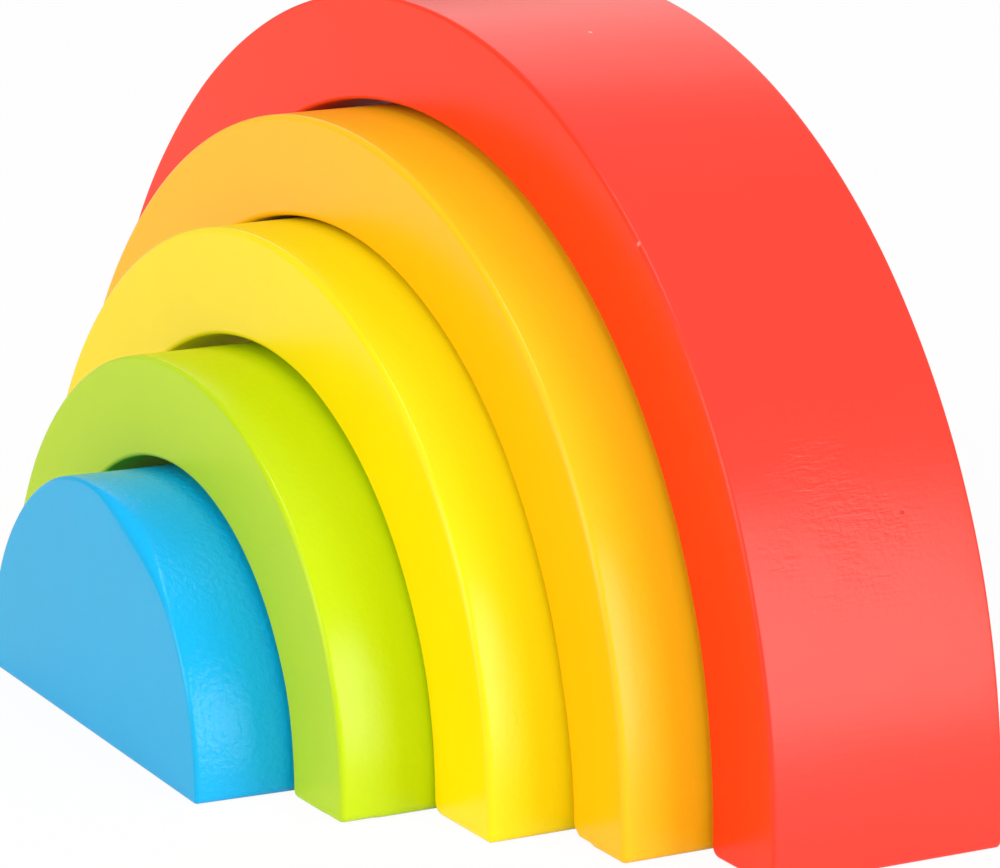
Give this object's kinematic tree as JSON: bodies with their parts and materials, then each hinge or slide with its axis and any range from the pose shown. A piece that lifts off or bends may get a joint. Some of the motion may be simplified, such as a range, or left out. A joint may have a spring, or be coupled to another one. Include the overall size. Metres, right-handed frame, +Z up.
{
  "type": "wooden rainbow stacker",
  "caption": "Nesting wooden rainbow: painted half-ring arches that slide in and out of one another around a solid half disc.",
  "frame": {"origin": "floor level, in the middle of the whole footprint", "axes": "+Z up, +X along the span of the arches, front faces towards -Y"},
  "size_m": [0.19, 0.0838, 0.095],
  "materials": {
    "blue_paint": "blue lacquer, semi-gloss, over sanded wood",
    "green_paint": "green lacquer, semi-gloss, over sanded wood",
    "yellow_paint": "yellow lacquer, semi-gloss, over sanded wood",
    "orange_paint": "orange lacquer, semi-gloss, over sanded wood",
    "red_paint": "red lacquer, semi-gloss, over sanded wood"
  },
  "bodies": {
    "red": {"red_arch": "red_paint"},
    "orange": {"orange_arch": "orange_paint"},
    "yellow": {"yellow_arch": "yellow_paint"},
    "green": {"green_arch": "green_paint"},
    "blue": {"blue_half_disc": "blue_paint"}
  },
  "joints": [
    {"name": "orange_slide", "type": "slide", "parent": "red", "child": "orange", "axis": [0, -1, 0], "range_m": [-0.012, 0.0275]},
    {"name": "yellow_slide", "type": "slide", "parent": "red", "child": "yellow", "axis": [0, -1, 0], "range_m": [-0.0231, 0.0559]},
    {"name": "green_slide", "type": "slide", "parent": "red", "child": "green", "axis": [0, -1, 0], "range_m": [-0.0361, 0.0824]},
    {"name": "blue_slide", "type": "slide", "parent": "red", "child": "blue", "axis": [0, -1, 0], "range_m": [-0.0464, 0.1116]}
  ]
}
